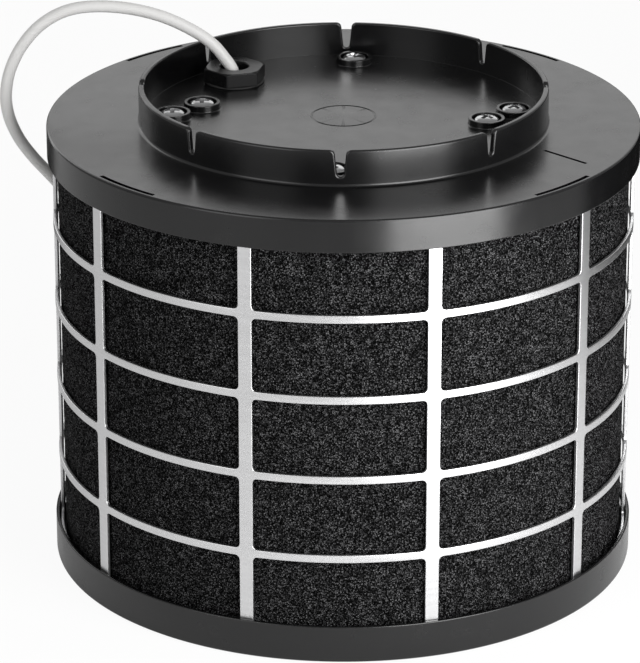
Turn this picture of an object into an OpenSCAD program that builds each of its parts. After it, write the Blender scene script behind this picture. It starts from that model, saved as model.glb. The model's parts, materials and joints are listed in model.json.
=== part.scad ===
// Recirculating-air plasma and carbon filter canister.
// Frame: +Z up, origin on the floor under the canister's axis, front at -Y. Millimetres.
// Azimuths are measured from the front (-Y) towards +X.

/* [Canister] */
// Diameter of both end caps
cap_d = 260; // [220:1:320]
// Height from the floor to the flat top face
body_h = 201; // [170:1:260]
// Thickness of the moulded plates
cap_t = 3; // [2:0.1:4]
// Thickness of the caps' skirts
skirt_t = 1.6; // [1.2:0.1:2.4]
// Height of the top cap's skirt, from the top face
skirt_h = 14.5; // [12:0.1:20]
// Height of the bottom cap's rim, from the floor
rim_h = 16.7; // [15.5:0.1:20]
// Edge chamfer of the caps
edge_c = 1.1; // [0.4:0.1:1.4]

/* [Collar] */
// Outside diameter of the notched collar
collar_d = 179.2; // [150:0.2:215]
// Height of the collar above the top face
collar_h = 16; // [12:0.5:24]
// Wall of the collar
collar_t = 2.6; // [2:0.1:4]
// Rise of the dish floor above the top face
dish_rise = 1; // [0.5:0.1:2]
// Width of the front and back notches, under their shoulders
main_notch_w = 4.6; // [3:0.1:8]
// Depth of the front and back notches
main_notch_h = 11.7; // [8:0.1:12]
// Width of the other notches, under their shoulders
side_notch_w = 4; // [3:0.1:8]
// Depth of the other notches
side_notch_h = 10.6; // [7:0.1:12]
// Radius of the notches' shoulders
notch_round = 2.4; // [1:0.1:3]

/* [Snap hooks] */
// Azimuth of the front pair of hooks
front_hook_az = 46; // [44:1:47]
// Azimuth of the back pair of hooks
back_hook_az = 137; // [132:1:140]
// Arc of one hook, in degrees
hook_arc = 9; // [5:1:10]
// Arc of the moulding slot over a hook, in degrees
slot_arc = 15; // [11:1:18]
// Width of the moulding slot
slot_w = 2; // [1.5:0.1:2.2]

/* [Cage] */
// Thickness of the steel sheet
sheet_t = 1.5; // [1:0.1:2]
// Clearance between the sheet and the skirts
cage_gap = 0.4; // [0.2:0.1:0.8]
// Windows in one row
bar_count = 10; // [8:2:14]
// Width of an upright bar
bar_w = 6; // [4:0.5:9]
// Width of a ring bar
ring_w = 3.5; // [2.5:0.5:6]
// Rows of windows
row_count = 5; // [4:1:7]
// Corner radius of a window
window_r = 2; // [1:0.5:4]
// Turn of the cage against the caps
cage_turn = -1; // [-1.2:0.1:1.2]

/* [Filter] */
// Thickness of the carbon foam
foam_t = 20; // [12:1:25]
// Clearance around the foam
foam_gap = 0.8; // [0.4:0.1:1.5]
// Thickness of the sealing rings over and under the foam
gasket_t = 2; // [1.5:0.5:3]
// Sheet of the inner core
core_t = 1.2; // [0.8:0.1:2]
// Clearance between the core and what it locates on
core_gap = 0.3; // [0.2:0.1:0.6]

/* [Inlet] */
// Bore of the duct socket
inlet_d = 150; // [125:1:180]
// Height of the duct socket, from the floor
socket_h = 38; // [30:1:48]
// Wall of the duct socket
socket_t = 2.4; // [2:0.1:4]
// Bar width of the finger guard
guard_w = 2.2; // [1.6:0.1:3]

/* [Screws] */
// Diameter of the screw shank
screw_d = 4; // [3:0.5:5]
// Diameter of the screw head
head_d = 11.6; // [9:0.1:12]
// Height of the screw head
head_h = 3.6; // [2.5:0.1:4]
// Outside diameter of a screw well
well_d = 16; // [15:0.5:18]
// Height of a screw well's ring above the dish floor
well_h = 3; // [2:0.1:3.4]
// Wall of a screw well's ring
well_t = 1.6; // [1:0.1:1.8]

/* [Cable gland] */
// Width across the flats of the gland's hexagon
gland_af = 24.7; // [20:0.1:27]
// Height of the gland's hexagon
gland_h = 6.4; // [5:0.1:9]
// Diameter of the gland's thread
thread_d = 18; // [14:0.5:19]
// Length of thread under the dish floor
thread_l = 12; // [9:0.5:14]

/* [Plasma module] */
// Outside diameter of a glass tube
glass_d = 16; // [12:0.5:18]
// Wall of a glass tube
glass_t = 1.2; // [0.8:0.1:1.5]
// Height of the frame's pillars
pillar_h = 46; // [44:1:52]
// Depth of the supply box, front to back
box_w = 66; // [50:1:70]
// Height of the supply box
box_h = 32; // [30:1:34]
// Wall of the supply box
box_t = 2; // [1.5:0.1:3]

/* [Flow switch] */
// Length of the vane's blade from its pin
vane_l = 50; // [35:1:55]
// Width of the vane's blade
vane_w = 32; // [24:1:34]
// Diameter of the vane's pin
pin_d = 2.5; // [2:0.1:3]
// Running clearance around the pin, on the radius
pin_gap = 0.06; // [0.03:0.01:0.1]

/* [Mains lead] */
// Diameter of the mains lead
cable_d = 5.4; // [5:0.1:6]
// Gap between the turns of the coil
turn_gap = 0.45; // [0.42:0.01:0.8]
// Loops in the coil
coil_turns = 7; // [5:1:9]

/* [Hidden] */
$fn = 96;

black = "#1b1b1d";
steel = "#c9cbcd";
eps = 0.01;

// Radii of the shell, from outside in
cap_r = cap_d / 2;
skirt_r = cap_r - skirt_t;
cage_r = skirt_r - cage_gap;
foam_r = cage_r - sheet_t - foam_gap;
foam_in_r = foam_r - foam_t;
core_r = foam_in_r - core_gap;
core_in_r = core_r - core_t;
lip_r = core_in_r - core_gap;
lip_t = 2;
lip_h = 8;

// Heights of the shell
plate_z = body_h - cap_t;
floor_z = body_h + dish_rise;
under_z = floor_z - cap_t;
low_band_z = 13;
high_band_z = body_h - 10;
window_h = (high_band_z - low_band_z - (row_count - 1) * ring_w) / row_count;
strips_per_bar = 8;
window_a = 180 / bar_count - asin(bar_w / 2 / cage_r);
window_w = 2 * cage_r * sin(window_a);
hook_azs = [-back_hook_az, -front_hook_az, front_hook_az, back_hook_az];
hook_reach = 2.1;
hook_gap = 0.3;

// Dish
collar_r = collar_d / 2;
dish_r = collar_r - collar_t;
foot_c = 1.2;
notch_count = 8;
notch_draw = 0.64;
well_ring_r = dish_r - 11.1;
// Screw places as [radius, azimuth]
frame_wells = [[well_ring_r, 176], [well_ring_r, -4], [well_ring_r - 1, -88], [well_ring_r - 1, 92]];
supply_wells = [[well_ring_r - 12.7, -100], [well_ring_r - 12.7, 80]];
gland_rad = dish_r - 18.1;
gland_az = -135;
gland_p = [gland_rad * sin(gland_az), -gland_rad * cos(gland_az)];
gland_turn = 16.7;
washer_t = 0.8;
hex_z = floor_z + washer_t;
hex_top = hex_z + gland_h;
thread_gap = 0.2;
thread_bot = under_z - thread_l;
seal_r = 6.2;
screw_gap = 0.1;
shank_l = 16;

// Inlet and flow switch
inlet_r = inlet_d / 2;
socket_r = inlet_r + socket_t;
ledge_h = 4;
ledge_in = 1.6;
guard_t = 2.4;
guard_top = socket_h + guard_t;
pin_x = -(inlet_r - 13);
pin_z = guard_top + 12;
ear_y = 6;
vane_t = 1.2;
hub_r = 3.2;
heel_l = 8;
switch_l = 19.8;
switch_w = 6.4;
switch_h = 10.2;
switch_z = pin_z + 6;
plunger_r = 1.4;
plunger_x = pin_x - heel_l + 2;

// Plasma module
tube_count = 3;
frame_t = 3;
frame_z = under_z - pillar_h - frame_t;
frame_r = well_ring_r + 5;
pillar_r = 4;
box_gap = 5;
box_z = frame_z + frame_t + box_gap;
box_l = 2 * (supply_wells[1][0] * sin(supply_wells[1][1]) - 8.5);
board_z = box_z + box_t + 4;
board_t = 1.6;
tube_r = 38;
tube_bot = guard_top + 20;
base_h = 16;
base_r = 11;
stud_r = 5;
mesh_gap = 0.3;
mesh_t = 0.5;

// Inner lead, from the gland's seal to the terminal block
tail_route = [[gland_p[0], gland_p[1], hex_top - 7], [gland_p[0], gland_p[1], under_z - 4],
    [gland_p[0], gland_p[1], thread_bot - 2], [gland_p[0] + 2, gland_p[1] + 0.6, thread_bot - 7],
    [gland_p[0] + 7, gland_p[1] + 0.4, box_z + 14.6], [gland_p[0] + 11, gland_p[1] - 4, box_z + 12.4],
    [gland_p[0] + 12, gland_p[1] - 9, box_z + 12], [gland_p[0] + 12, box_w / 2 - box_t - 1, box_z + 12],
    [gland_p[0] + 12, box_w / 2 - 5.9, box_z + 12]];

// Mains lead: where it leaves the gland, over the rim, down behind the canister
lead_r = cable_d / 2;
lead_route = [
    [-48.7, 48.7, 202.2], [-48.8, 48.7, 204.2], [-50, 48.7, 208.2], [-52.8, 48.9, 212.4],
    [-58.3, 49, 219.1], [-66.8, 49.2, 225.3], [-80, 49.6, 231.6],
    [-95, 50, 235.4], [-111, 50, 236.5], [-124, 50, 234.3], [-135, 50, 228],
    [-143.5, 50, 218.5], [-149.3, 50, 207], [-151.6, 50, 195.4], [-150.6, 50.4, 184.8],
    [-146.6, 52, 174], [-140.6, 54.6, 164], [-133.6, 59, 154], [-126.6, 65, 143],
    [-120, 72, 130], [-114, 79, 115], [-108.4, 86, 98], [-103, 93, 80],
    [-97, 100.6, 62], [-89.4, 108.8, 45], [-79.6, 117.6, 29.5], [-67, 126, 16.4],
    [-52, 132.6, 7.4], [-36, 136.6, 3.4], [-20, 137.6, 2.7], [-5, 137.7, 2.7], [5, 137.7, 2.7]];
lead_end = lead_route[len(lead_route) - 1];
lead_sides = 8;
coil_sides = 6;
rings_per_loop = 24;
turn_pitch = cable_d + turn_gap;
coil_min_r = 21.8;
coil_out_r = coil_min_r + turn_pitch * coil_turns / 2;
coil_c = [lead_end[0] + cable_d, lead_end[1] + coil_out_r];
coil_tail_l = 34;
plug_z = 6.85;
plug_x = lead_end[0] + coil_tail_l;
relief_l = 24;
plug_l = 36;
plug_w = 35;
pin_l = 19;
pin_pitch = 18.6;

// ---------- helpers ----------

// Puts its children at a radius and azimuth from the front
module at(place, z = 0) {
    translate([place[0] * sin(place[1]), -place[0] * cos(place[1]), z]) children();
}

module tube(r, inner, z0, z1) {
    translate([0, 0, z0]) difference() {
        cylinder(r = r, h = z1 - z0);
        translate([0, 0, -1]) cylinder(r = inner, h = z1 - z0 + 2);
    }
}

// Sheet rolled to a drum in flat strips
module rolled_drum(r, inner, z0, z1, strips) {
    translate([0, 0, z0]) linear_extrude(z1 - z0) difference() {
        polygon([for (k = [0:strips - 1]) r * [cos(360 / strips * k), sin(360 / strips * k)]]);
        polygon([for (k = [0:strips - 1]) inner * [cos(360 / strips * k), sin(360 / strips * k)]]);
    }
}

// Part of a ring, with the given section, centred on an azimuth
module arc_piece(az, arc) {
    rotate([0, 0, az - 90 - arc / 2]) rotate_extrude(angle = arc) children();
}

module rounded_window(w, h, r) {
    steps = 3;
    polygon([for (q = [0:3], k = [0:steps]) let (a = 90 * q + 90 * k / steps,
        x = (q == 0 || q == 3 ? 1 : -1) * (w / 2 - r), y = (q < 2 ? 1 : -1) * (h / 2 - r))
        [x + r * cos(a), y + r * sin(a)]]);
}

// Cuts rounded windows through a drum's wall, columns around it and rows up from z0
module drum_windows(r, wall, columns, rows, w, h, step, z0, corner_r) {
    cut_r = (r - wall) * cos(180 / columns) - 1;
    for (k = [0:columns - 1], row = [0:rows - 1]) rotate([0, 0, 360 / columns * k])
        translate([0, -cut_r, z0 + h / 2 + row * step]) rotate([90, 0, 0])
            linear_extrude(r - cut_r + 2) rounded_window(w, h, corner_r);
}

// Notch with drawn-in sides, round shoulders and a round floor, opening upwards from y = 0
module notch_outline(w, low_w, h) {
    r = low_w / 2;
    far = w / 2 + notch_round;
    steps = 4;
    polygon(concat(
        [[-far, 1]],
        [for (k = [0:steps]) let (a = 90 - 90 * k / steps)
            [-far + notch_round * cos(a), -notch_round + notch_round * sin(a)]],
        [for (k = [0:2 * steps]) let (a = 180 + 180 * k / (2 * steps)) [r * cos(a), r - h + r * sin(a)]],
        [for (k = [0:steps]) let (a = 180 - 90 * k / steps)
            [far + notch_round * cos(a), -notch_round + notch_round * sin(a)]],
        [[far, 1]]));
}

function unit(v) = v / norm(v);
function heading(p, i) = unit(p[min(i + 1, len(p) - 1)] - p[max(i - 1, 0)]);
function square_to(n, t) = unit(n - (n * t) * t);
// A point on the smooth curve through b and c
function on_curve(a, b, c, d, s) = b + s * ((c - a) / 2 + s * ((2 * a - 5 * b + 4 * c - d) / 2
    + s * (3 * b - a - 3 * c + d) / 2));
function smooth(p, steps) = concat([for (i = [0:len(p) - 2], k = [0:steps - 1])
    on_curve(p[max(i - 1, 0)], p[i], p[i + 1], p[min(i + 2, len(p) - 1)], k / steps)],
    [p[len(p) - 1]]);

// Round tube along a list of points
module sweep(p, r, sides, start = [0, 1, 0]) {
    last = len(p) - 1;
    n = [for (i = 0, v = square_to(start, heading(p, 0)); i <= last;
        i = i + 1, v = i <= last ? square_to(v, heading(p, i)) : v) v];
    rim = [for (i = [0:last]) let (b = cross(heading(p, i), n[i]))
        for (k = [0:sides - 1]) let (a = 360 * k / sides) p[i] + r * (cos(a) * n[i] + sin(a) * b)];
    c0 = len(rim);
    side_faces = [for (i = [0:last - 1], k = [0:sides - 1]) let (j = (k + 1) % sides, u = i * sides,
        v = u + sides) each [[u + k, v + k, v + j], [u + k, v + j, u + j]]];
    end_faces = [for (k = [0:sides - 1]) let (j = (k + 1) % sides, v = last * sides)
        each [[c0, k, j], [c0 + 1, v + j, v + k]]];
    polyhedron(points = concat(rim, [p[0], p[last]]), faces = concat(side_faces, end_faces));
}

// ---------- shell ----------

module hook_section(z, up) {
    polygon([[skirt_r + 0.4, z], [skirt_r - hook_reach, z], [skirt_r - hook_reach, z + up * 0.7],
        [skirt_r, z + up * 2.8], [skirt_r + 0.4, z + up * 2.8]]);
}

module mould_slots(z0) {
    for (az = hook_azs) arc_piece(az, slot_arc)
        translate([skirt_r - hook_reach, z0 - 1]) square([slot_w, cap_t + 2]);
}

module top_cap_section() {
    polygon([[0, under_z], [collar_r - 6, under_z], [collar_r - 6, plate_z], [lip_r - lip_t, plate_z],
        [lip_r - lip_t, plate_z - lip_h], [lip_r, plate_z - lip_h], [lip_r, plate_z],
        [skirt_r, plate_z], [skirt_r, body_h - skirt_h], [cap_r, body_h - skirt_h],
        [cap_r, body_h - edge_c], [cap_r - 0.4 * edge_c, body_h - 0.4 * edge_c], [cap_r - edge_c, body_h],
        [collar_r + foot_c, body_h], [collar_r + 0.3 * foot_c, body_h + 0.3 * foot_c],
        [collar_r, body_h + foot_c], [collar_r, body_h + collar_h - 1],
        [collar_r - 0.3, body_h + collar_h - 0.3], [collar_r - 1, body_h + collar_h],
        [dish_r + 0.8, body_h + collar_h], [dish_r + 0.25, body_h + collar_h - 0.25],
        [dish_r, body_h + collar_h - 0.8], [dish_r, floor_z], [0, floor_z]]);
}

module notches() {
    for (k = [0:notch_count - 1]) {
        main = k % (notch_count / 2) == 0;
        w = main ? main_notch_w : side_notch_w;
        rotate([0, 0, 360 / notch_count * k]) translate([0, -collar_r + collar_t + 2, body_h + collar_h])
            rotate([90, 0, 0]) linear_extrude(collar_t + 6)
                notch_outline(w, notch_draw * w, main ? main_notch_h : side_notch_h);
    }
}

module top_cap() {
    color(black) difference() {
        union() {
            // The revolve starts between two notches
            rotate([0, 0, 180 / notch_count]) rotate_extrude() top_cap_section();
            for (p = concat(frame_wells, supply_wells)) at(p, floor_z - eps)
                cylinder(d = well_d, h = well_h + eps);
            for (az = hook_azs) arc_piece(az, hook_arc) hook_section(high_band_z - hook_gap, -1);
        }
        notches();
        mould_slots(plate_z);
        for (p = concat(frame_wells, supply_wells)) at(p) {
            translate([0, 0, floor_z]) cylinder(d = well_d - 2 * well_t, h = well_h + 1);
            translate([0, 0, under_z - 1]) cylinder(r = screw_d / 2 + screw_gap, h = cap_t + 2);
        }
        translate([gland_p[0], gland_p[1], under_z - 1])
            cylinder(r = thread_d / 2 + thread_gap, h = cap_t + 2);
        // Gate mark in the middle of the dish
        tube(14.3, 13.7, floor_z - 0.3, floor_z + 1);
        // Straight locating slot outside the collar
        translate([collar_r + 4.6, -(collar_r - 38), body_h - 2]) rotate([0, 0, -45])
            translate([-12, -0.8, 0]) cube([24, 1.6, 3]);
    }
}

module bottom_cap() {
    color(black) difference() {
        union() {
            rotate_extrude() polygon([[socket_r, 0], [cap_r - edge_c, 0],
                [cap_r - 0.3 * edge_c, 0.3 * edge_c], [cap_r, edge_c],
                [cap_r, rim_h - 0.5], [cap_r - 0.5, rim_h], [skirt_r, rim_h], [skirt_r, cap_t],
                [lip_r, cap_t], [lip_r, cap_t + lip_h], [lip_r - lip_t, cap_t + lip_h],
                [lip_r - lip_t, cap_t], [socket_r, cap_t]]);
            rotate_extrude() polygon([[inlet_r + 1, 0], [socket_r + eps, 0], [socket_r + eps, cap_t],
                [socket_r, cap_t], [socket_r, socket_h], [inlet_r - ledge_in, socket_h],
                [inlet_r - ledge_in, socket_h - ledge_h], [inlet_r, socket_h - ledge_h], [inlet_r, 1]]);
            for (az = hook_azs) arc_piece(az, hook_arc) hook_section(low_band_z + hook_gap, 1);
        }
        mould_slots(0);
    }
}

module grid_cage() {
    color(steel) rotate([0, 0, cage_turn]) difference() {
        rolled_drum(cage_r, cage_r - sheet_t, cap_t, plate_z, strips_per_bar * bar_count);
        drum_windows(cage_r, sheet_t, bar_count, row_count, window_w, window_h, window_h + ring_w,
            low_band_z, window_r);
    }
}

module carbon_foam_sleeve() {
    color("#26272a") tube(foam_r, foam_in_r, cap_t + gasket_t, plate_z - gasket_t);
}

module inner_core() {
    columns = 12;
    rows = 4;
    web = 6;
    z0 = cap_t + lip_h + web;
    hole_h = (plate_z - lip_h - z0 + cap_t) / rows - web;
    hole_w = 2 * core_r * sin(180 / columns) - 2 * web;
    color("#b9bcbf") difference() {
        tube(core_r, core_in_r, cap_t, plate_z);
        drum_windows(core_r, core_t, columns, rows, hole_w, hole_h, hole_h + web, z0, 3);
    }
}

module top_gasket() {
    color("#303033") tube(foam_r - 0.2, foam_in_r + 0.2, plate_z - gasket_t, plate_z);
}

module bottom_gasket() {
    color("#303033") tube(foam_r - 0.2, foam_in_r + 0.2, cap_t, cap_t + gasket_t);
}

module inlet_guard() {
    rings = 4;
    spokes = 8;
    lap = 3;
    step = (inlet_r - 4) / (rings + 0.5);
    color("#2a2a2c") {
        tube(socket_r, inlet_r - 4, socket_h, guard_top);
        tube(socket_r + 0.2 + 1.4, socket_r + 0.2, socket_h - lap, guard_top);
        tube(socket_r + 0.4, socket_r - 0.4, socket_h + 0.6, guard_top);
        for (k = [1:rings]) tube(k * step, k * step - guard_w, socket_h, guard_top);
        difference() {
            for (k = [0:spokes / 2 - 1]) rotate([0, 0, 22.5 + 360 / spokes * k])
                translate([-inlet_r + 2, -guard_w / 2, socket_h]) cube([2 * inlet_r - 4, guard_w, guard_t]);
            translate([0, 0, socket_h - 1]) cylinder(r = step - guard_w / 2, h = guard_t + 2);
        }
    }
}

// ---------- fasteners and gland ----------

// Pan-head screw with a cross recess, head seated at z = 0
module pan_screw() {
    arm_w = 1.5;
    arm_l = 5.6;
    difference() {
        union() {
            rotate_extrude() polygon(concat([[0, 0], [head_d / 2, 0], [head_d / 2, 0.9]],
                [for (a = [15:15:90]) [head_d / 2 * cos(a), 0.9 + (head_h - 0.9) * sin(a)]]));
            translate([0, 0, -shank_l]) cylinder(d = screw_d, h = shank_l + eps);
        }
        for (a = [0, 90]) rotate([0, 0, a]) translate([-arm_l / 2, -arm_w / 2, head_h - 2])
            cube([arm_l, arm_w, 3]);
    }
}

module frame_screws() {
    color("#dcdde0") for (i = [0:len(frame_wells) - 1]) at(frame_wells[i], floor_z)
        rotate([0, 0, 20 + 35 * i]) pan_screw();
}

module supply_screws() {
    color("#dcdde0") for (i = [0:len(supply_wells) - 1]) at(supply_wells[i], floor_z)
        rotate([0, 0, 10 + 50 * i]) pan_screw();
}

module at_gland(z) {
    translate([gland_p[0], gland_p[1], z]) children();
}

module gland_body() {
    corner_r = gland_af / 2 / cos(30);
    mouth_r = 7.4;
    color(black) at_gland(0) difference() {
        union() {
            intersection() {
                translate([0, 0, hex_z]) rotate([0, 0, gland_turn])
                    cylinder(r = corner_r, h = gland_h, $fn = 6);
                rotate_extrude() polygon([[0, hex_z], [corner_r, hex_z], [corner_r, hex_top - 1.6],
                    [gland_af / 2 - 0.4, hex_top], [0, hex_top]]);
            }
            translate([0, 0, thread_bot]) cylinder(d = thread_d, h = hex_z - thread_bot + eps);
        }
        translate([0, 0, thread_bot - 1]) cylinder(r = seal_r, h = hex_top - thread_bot + 2);
        rotate_extrude() polygon([[0, hex_top - 2.4], [seal_r, hex_top - 2.4], [mouth_r, hex_top - 0.6],
            [mouth_r + 0.6, hex_top + eps], [0, hex_top + eps]]);
    }
}

module gland_washer() {
    color("#2c2c2e") at_gland(0) tube(gland_af / 2 + 1, thread_d / 2 + thread_gap, floor_z, hex_z);
}

module gland_seal() {
    color("#3a3a3c") at_gland(0) difference() {
        translate([0, 0, thread_bot + 1]) cylinder(r = seal_r, h = hex_top - 3.6 - thread_bot - 1);
        translate([0, 0, thread_bot]) cylinder(r = lead_r, h = hex_top - thread_bot);
    }
}

module gland_locknut() {
    nut_h = 5;
    color(black) at_gland(under_z - nut_h) difference() {
        cylinder(d = gland_af, h = nut_h, $fn = 6);
        translate([0, 0, -1]) cylinder(r = thread_d / 2 + 0.05, h = nut_h + 2);
    }
}

// ---------- plasma module ----------

module module_frame() {
    color("#d9d6cc") difference() {
        union() {
            translate([0, 0, frame_z]) cylinder(r = frame_r, h = frame_t);
            tube(frame_r, frame_r - 2, frame_z, frame_z + 8);
            for (p = frame_wells) at(p, frame_z) cylinder(r = pillar_r, h = under_z - frame_z);
        }
        for (p = frame_wells) at(p, under_z - shank_l) cylinder(r = screw_d / 2 + 0.04, h = shank_l + 1);
        // Air passes through the plate between the tubes
        for (k = [0:tube_count - 1]) rotate([0, 0, 360 / tube_count * (k + 0.5)])
            translate([tube_r + 6, 0, frame_z - 1]) cylinder(r = 17, h = frame_t + 2);
        for (k = [0:tube_count - 1]) rotate([0, 0, 360 / tube_count * k])
            translate([tube_r, 0, frame_z - 1]) cylinder(r = stud_r + 0.1, h = frame_t + 2);
    }
}

module supply_box() {
    color("#ececea") difference() {
        union() {
            translate([-box_l / 2, -box_w / 2, box_z]) cube([box_l, box_w, box_h]);
            for (p = supply_wells) at(p, box_z + box_h - 8)
                cylinder(r = 6.4, h = under_z - box_z - box_h + 8);
            for (p = supply_wells) at(p, box_z + box_h - 8) rotate([0, 0, p[1] > 0 ? 180 : 0])
                translate([0, -5, 0]) cube([9, 10, 8]);
        }
        translate([-box_l / 2 + box_t, -box_w / 2 + box_t, box_z + box_t])
            cube([box_l - 2 * box_t, box_w - 2 * box_t, box_h]);
        for (p = supply_wells) at(p, under_z - shank_l) cylinder(r = screw_d / 2 + 0.04, h = shank_l + 1);
        // Feet of the box stand on the frame, leads leave through the middle
        translate([0, 0, box_z - 1]) cylinder(r = 14, h = box_t + 2);
        translate([gland_p[0] + 12, box_w / 2 + 1, box_z + 12]) rotate([90, 0, 0])
            cylinder(r = lead_r + 0.4, h = box_t + 2);
    }
    color("#ececea") for (x = [-1, 1], y = [-1, 1])
        translate([x * (box_l / 2 - 7), y * (box_w / 2 - 7), frame_z + frame_t])
            cylinder(r = 3.5, h = box_gap + eps);
}

module supply_lid() {
    color("#e4e4e2") difference() {
        union() {
            translate([-box_l / 2, -box_w / 2, box_z + box_h]) cube([box_l, box_w, box_t]);
            translate([-box_l / 2 + box_t + 0.2, -box_w / 2 + box_t + 0.2, box_z + box_h - 2])
                cube([box_l - 2 * box_t - 0.4, box_w - 2 * box_t - 0.4, 2 + eps]);
        }
        translate([-box_l / 2 + 2 * box_t, -box_w / 2 + 2 * box_t, box_z + box_h - 3])
            cube([box_l - 4 * box_t, box_w - 4 * box_t, 3]);
        for (p = supply_wells) at(p, box_z + box_h - 3) cylinder(r = 6.7, h = box_t + 5);
    }
}

module circuit_board() {
    color("#2c6b3c") difference() {
        translate([-box_l / 2 + box_t + 1, -box_w / 2 + box_t + 1, board_z])
            cube([box_l - 2 * box_t - 2, box_w - 2 * box_t - 2, board_t]);
        for (x = [-1, 1], y = [-1, 1]) translate([x * (box_l / 2 - 9), y * (box_w / 2 - 9), board_z - 1])
            cylinder(r = 1.7, h = board_t + 2);
    }
    color("#e8e4d8") for (x = [-1, 1], y = [-1, 1])
        translate([x * (box_l / 2 - 9), y * (box_w / 2 - 9), box_z + box_t])
            cylinder(r = 3, h = board_z - box_z - box_t);
}

module transformer() {
    z = board_z + board_t;
    color("#3b3b3f") translate([box_l / 2 - 34, -12, z]) difference() {
        cube([24, 24, 18]);
        translate([5, -1, 4]) cube([4, 26, 10]);
        translate([15, -1, 4]) cube([4, 26, 10]);
    }
}

module capacitors() {
    z = board_z + board_t;
    color("#2d5fa8") for (x = [-10, 4]) translate([x, box_w / 2 - 15, z]) {
        cylinder(r = 5, h = 14);
        cylinder(r = 5.2, h = 1.2);
    }
}

module terminal_block() {
    z = board_z + board_t;
    color("#4f8f56") translate([gland_p[0] + 5, box_w / 2 - 16, z]) difference() {
        cube([14, 10, 11]);
        for (x = [3.5, 10.5]) translate([x, 5, 4]) cylinder(r = 2, h = 8);
    }
}

module cable_tail() {
    color("#e6e6e4") sweep(smooth(tail_route, 3), lead_r - 0.05, lead_sides, [1, 0, 0]);
}

module at_tube(k) {
    rotate([0, 0, 360 / tube_count * (k - 1)]) translate([tube_r, 0, 0]) children();
}

module tube_base(k) {
    color("#35353a") at_tube(k) difference() {
        union() {
            translate([0, 0, frame_z - base_h]) cylinder(r = base_r, h = base_h);
            translate([0, 0, frame_z - eps]) cylinder(r = stud_r, h = frame_t + 2.2);
        }
        translate([0, 0, frame_z - base_h - 1]) cylinder(d = glass_d + 0.2, h = base_h - 2);
    }
}

module glass_tube(k) {
    top = frame_z - 3.2;
    color("#cfe3e6", 0.5) at_tube(k) rotate_extrude() polygon(concat(
        [for (a = [-90:15:0]) [glass_d / 2 * cos(a), tube_bot + glass_d / 2 + glass_d / 2 * sin(a)]],
        [[glass_d / 2, top], [glass_d / 2 - glass_t, top]],
        [for (a = [0:-15:-90]) [(glass_d / 2 - glass_t) * cos(a),
            tube_bot + glass_d / 2 + (glass_d / 2 - glass_t) * sin(a)]]));
}

module inner_electrode(k) {
    r = glass_d / 2 - glass_t - 0.2;
    color("#b7babd") at_tube(k) {
        tube(r, r - 0.8, tube_bot + glass_d / 2 + 2, frame_z - 6);
        translate([0, 0, frame_z - 6 - eps]) cylinder(r = r, h = 1);
        translate([0, 0, frame_z - 6]) cylinder(r = 1.5, h = 3);
    }
}

module outer_electrode(k) {
    r = glass_d / 2 + mesh_gap;
    bottom = tube_bot + glass_d / 2 + 4;
    top = frame_z - base_h - 1;
    rows = 6;
    holes = 8;
    web = 1.6;
    hole_h = (top - bottom - (rows + 1) * web) / rows;
    hole_w = 2 * (r + mesh_t) * sin(180 / holes) - web;
    color("#c4c7ca") at_tube(k) difference() {
        tube(r + mesh_t, r, bottom, top);
        for (i = [0:holes / 2 - 1]) rotate([0, 0, 360 / holes * i]) rotate([90, 0, 0])
            linear_extrude(4 * r, center = true) for (row = [0:rows - 1])
                translate([0, bottom + web + hole_h / 2 + row * (hole_h + web)])
                    square([hole_w, hole_h], center = true);
    }
}

// From the board, out under the supply box and along the frame to the stud of one tube
module tube_lead(k) {
    wire_r = 1.2;
    z = frame_z + frame_t + wire_r + 0.1;
    route = [[6, 0, board_z - 0.3], [6, 0, box_z + 1], [8, 0, z + 1], [13, 0, z],
        [20, 0, z], [tube_r - stud_r - 6, 0, z], [tube_r - stud_r - 0.3, 0, z]];
    color("#b02a2a") rotate([0, 0, 360 / tube_count * (k - 1)]) sweep(smooth(route, 2), wire_r, lead_sides);
}

module earth_plate() {
    z = frame_z - base_h - 3;
    color(steel) difference() {
        union() {
            for (k = [1:tube_count]) hull() {
                translate([0, 0, z]) cylinder(r = 6, h = 1);
                at_tube(k) translate([0, 0, z]) cylinder(r = 13, h = 1);
            }
            translate([0, 0, z]) cylinder(r = 3, h = frame_z - z);
        }
        for (k = [1:tube_count]) at_tube(k) translate([0, 0, z - 1])
            cylinder(r = glass_d / 2 + mesh_gap + mesh_t + 0.1, h = 3);
    }
}

// ---------- flow switch ----------

module vane_bracket() {
    base_l = 12;
    wall = 2;
    x0 = -socket_r;
    top = switch_z + switch_h;
    half = vane_w / 2 + 3;
    ear_l = pin_x + 4 - x0;
    stop_l = 14;
    stop_gap = 0.3;
    color("#c8c4b4") difference() {
        union() {
            translate([x0, -half, guard_top]) cube([base_l, 2 * half, wall]);
            for (y = [-1, 1]) translate([x0, y * (ear_y + wall / 2) - wall / 2, guard_top]) {
                cube([ear_l, wall, pin_z + 4 - guard_top]);
                // Foot of the ear, on which the blade rests when no air flows
                cube([ear_l + stop_l - 4, wall, pin_z - vane_t / 2 - stop_gap - guard_top]);
            }
            translate([x0, -ear_y - wall, guard_top]) cube([wall, 2 * (ear_y + wall), top - guard_top]);
            // Shelf that carries the switch from above
            translate([x0, -ear_y - wall, top]) cube([switch_l + wall, 2 * (ear_y + wall), wall]);
        }
        translate([pin_x, 0, pin_z]) rotate([90, 0, 0]) cylinder(d = pin_d, h = 60, center = true);
    }
}

module vane_pin() {
    color(steel) translate([pin_x, 0, pin_z]) rotate([90, 0, 0])
        cylinder(d = pin_d, h = 2 * ear_y + 8, center = true);
}

module pin_clips() {
    color("#8f9296") for (y = [-1, 1]) translate([pin_x, y * (ear_y + 2.5), pin_z]) rotate([90, 0, 0])
        difference() {
            cylinder(r = 3, h = 0.8, center = true);
            cylinder(d = pin_d, h = 2, center = true);
        }
}

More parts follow.
